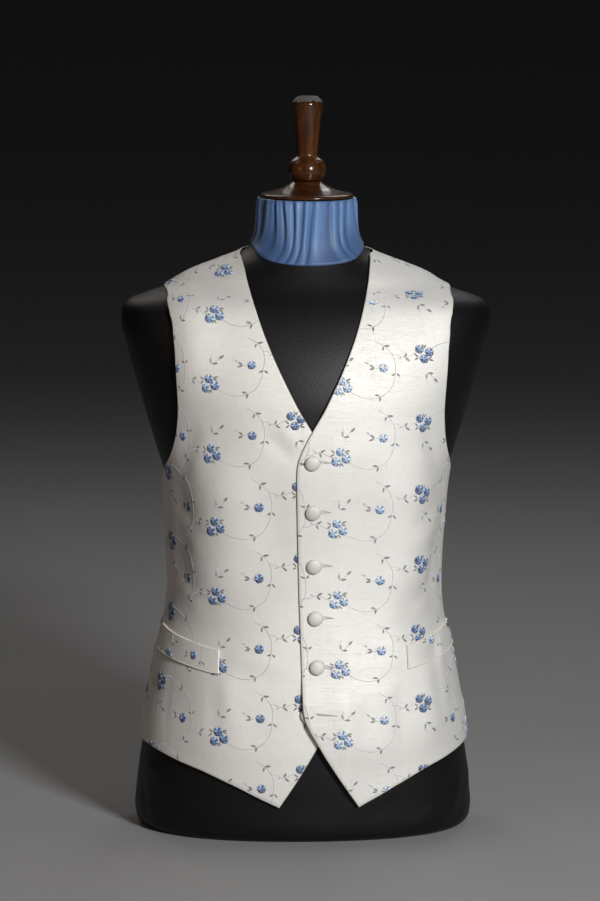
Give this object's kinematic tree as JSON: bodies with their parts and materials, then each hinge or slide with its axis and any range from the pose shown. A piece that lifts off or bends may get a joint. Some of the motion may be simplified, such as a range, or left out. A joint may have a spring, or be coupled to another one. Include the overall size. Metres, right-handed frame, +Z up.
{
  "type": "embroidered waistcoat on a dress form",
  "caption": "Sleeveless V-neck silk waistcoat with a buttoned lap, pointed fronts and welt pockets, on a limbless dress form with a gathered neck cover, turned wooden cap and finial.",
  "frame": {"origin": "middle of the form's flat base, which stands on the surface", "axes": "+Z up along the form, -Y is the front of the waistcoat, +X is the wearer's left"},
  "size_m": [0.412, 0.2724, 0.8178],
  "materials": {
    "silk": "slubbed dupion silk with embroidered sprigs",
    "satin": "plain ivory satin",
    "button_satin": "ivory satin over a domed shell",
    "form_cover": "black cotton jersey",
    "neck_sateen": "gathered blue sateen",
    "wood": "dark stained hardwood under gloss varnish"
  },
  "bodies": {
    "root": {"right_front": "silk", "left_front": "silk", "right_back": "satin", "left_back": "satin", "right_welt": "silk", "left_welt": "silk", "button_1": "button_satin", "button_2": "button_satin", "button_3": "button_satin", "button_4": "button_satin", "button_5": "button_satin", "button_6": "button_satin", "dress_form": "form_cover", "neck_cover": "neck_sateen", "neck_cap": "wood", "finial": "wood"}
  },
  "joints": []
}
